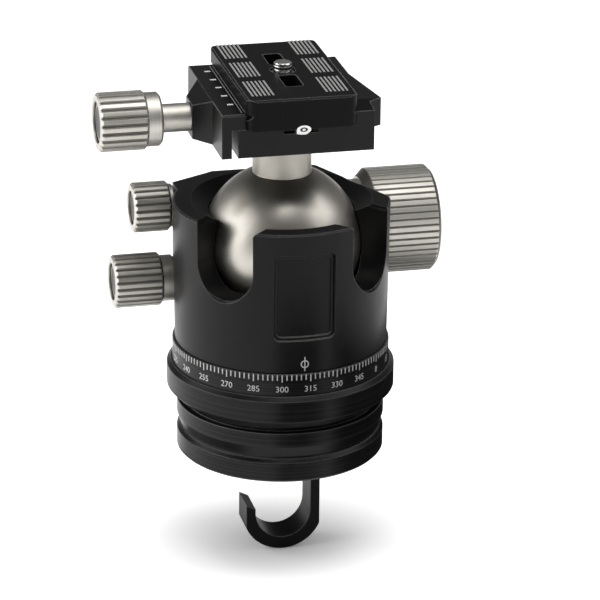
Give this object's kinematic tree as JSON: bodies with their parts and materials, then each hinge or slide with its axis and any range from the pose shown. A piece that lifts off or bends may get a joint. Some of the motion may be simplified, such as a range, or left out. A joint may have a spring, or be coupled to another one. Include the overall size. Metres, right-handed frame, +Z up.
{
  "type": "tripod ball head",
  "caption": "Ball head on a round tripod top plate, with ridged locking knobs, a degree ring, a dovetail clamp with its plate, and a hook below.",
  "frame": {"origin": "centre of the underside of the tripod top plate, on the panning axis", "axes": "+Z up along the panning axis, -Y towards the index mark, +X towards the large locking knob"},
  "size_m": [0.1234, 0.08, 0.1801],
  "materials": {
    "black_anodised": "satin",
    "light_metal": "brushed",
    "ball_metal": "satin",
    "bright_steel": "brushed",
    "brass": "satin",
    "dark_plastic": "matte"
  },
  "bodies": {
    "base": {"apex_plate": "black_anodised", "centre_bolt": "bright_steel", "centre_bolt_washer": "bright_steel", "pan_base": "black_anodised", "scale_ring": "black_anodised", "pan_washer": "dark_plastic", "pan_retainer": "bright_steel", "retainer_screws": "bright_steel", "hook_swivel": "brass", "hook_nut": "bright_steel"},
    "hook": {"hook": "black_anodised"},
    "housing": {"housing": "black_anodised", "housing_floor": "black_anodised", "floor_screws": "bright_steel", "seat_spring": "bright_steel"},
    "ball_seat": {"ball_seat": "dark_plastic"},
    "ball_plug": {"ball_plug": "bright_steel"},
    "ball": {"ball": "ball_metal", "clamp_body": "black_anodised", "clamp_bolt": "bright_steel", "clamp_dowels": "bright_steel", "guide_rods": "bright_steel"},
    "jaw": {"jaw": "black_anodised"},
    "clamp_knob": {"clamp_screw": "light_metal", "clamp_knob": "light_metal", "clamp_knob_cap": "dark_plastic"},
    "plate": {"plate": "black_anodised", "stop_screws": "bright_steel", "camera_screw_clip": "bright_steel"},
    "camera_screw": {"camera_screw": "bright_steel"},
    "lock_shoe": {"lock_shoe": "brass"},
    "lock_knob": {"lock_screw": "bright_steel", "lock_knob": "light_metal", "lock_knob_cap": "dark_plastic"},
    "drag_pad": {"drag_pad": "brass"},
    "drag_knob": {"drag_screw": "bright_steel", "drag_knob": "light_metal", "drag_knob_cap": "dark_plastic"},
    "brake_pin": {"brake_pin": "brass"},
    "brake_wedge": {"brake_wedge": "brass"},
    "pan_knob": {"pan_screw": "bright_steel", "pan_knob": "light_metal", "pan_knob_cap": "dark_plastic"}
  },
  "joints": [
    {"name": "hook_turn", "type": "hinge", "parent": "base", "child": "hook", "pos_m": [0, 0, 0], "axis": [0, 0, 1], "continuous": true},
    {"name": "pan_turn", "type": "hinge", "parent": "base", "child": "housing", "pos_m": [0, 0, 0.0413], "axis": [0, 0, 1], "continuous": true},
    {"name": "ball_swivel", "type": "hinge", "parent": "housing", "child": "ball_seat", "pos_m": [0, 0, 0.0761], "axis": [0, 0, 1], "range_deg": [-90, 0]},
    {"name": "ball_tilt", "type": "hinge", "parent": "ball_seat", "child": "ball_plug", "pos_m": [0, 0, 0.0761], "axis": [0.7071, 0.7071, 0], "range_deg": [-30, 90]},
    {"name": "ball_spin", "type": "hinge", "parent": "ball_plug", "child": "ball", "pos_m": [0, 0, 0.0761], "axis": [0, 0, 1], "continuous": true},
    {"name": "jaw_slide", "type": "slide", "parent": "ball", "child": "jaw", "axis": [-1, 0, 0], "range_m": [0, 0.003]},
    {"name": "clamp_knob_turn", "type": "hinge", "parent": "jaw", "child": "clamp_knob", "pos_m": [-0.045, 0, 0.1235], "axis": [-1, 0, 0], "range_deg": [0, 1080]},
    {"name": "plate_slide", "type": "slide", "parent": "ball", "child": "plate", "axis": [0, 1, 0], "range_m": [-0.0015, 0.0015]},
    {"name": "camera_screw_turn", "type": "hinge", "parent": "plate", "child": "camera_screw", "pos_m": [0, 0, 0.13], "axis": [0, 0, 1], "continuous": true},
    {"name": "lock_shoe_slide", "type": "slide", "parent": "housing", "child": "lock_shoe", "axis": [1, 0, 0], "range_m": [0, 0.00075]},
    {"name": "lock_knob_turn", "type": "hinge", "parent": "lock_shoe", "child": "lock_knob", "pos_m": [0.045, 0.02, 0.0736], "axis": [1, 0, 0], "range_deg": [0, 270]},
    {"name": "drag_pad_slide", "type": "slide", "parent": "housing", "child": "drag_pad", "axis": [-1, 0, 0], "range_m": [0, 0.0008]},
    {"name": "drag_knob_turn", "type": "hinge", "parent": "drag_pad", "child": "drag_knob", "pos_m": [-0.04, 0.02, 0.0846], "axis": [-1, 0, 0], "range_deg": [0, 360]},
    {"name": "brake_pin_slide", "type": "slide", "parent": "housing", "child": "brake_pin", "axis": [0, 0, 1], "range_m": [0, 0.0006]},
    {"name": "brake_wedge_slide", "type": "slide", "parent": "housing", "child": "brake_wedge", "axis": [-1, 0, 0], "range_m": [0, 0.0006]},
    {"name": "pan_knob_turn", "type": "hinge", "parent": "brake_wedge", "child": "pan_knob", "pos_m": [-0.04, 0.02, 0.0575], "axis": [-1, 0, 0], "range_deg": [0, 216]}
  ],
  "couplings": [
    {"joint": "jaw_slide", "follows": "clamp_knob_turn", "m_per_rad": 0.00015915},
    {"joint": "lock_shoe_slide", "follows": "lock_knob_turn", "m_per_rad": 0.00015915},
    {"joint": "drag_pad_slide", "follows": "drag_knob_turn", "m_per_rad": 0.00012732},
    {"joint": "brake_wedge_slide", "follows": "pan_knob_turn", "m_per_rad": 0.00015915},
    {"joint": "brake_pin_slide", "follows": "pan_knob_turn", "m_per_rad": 0.00015915}
  ]
}
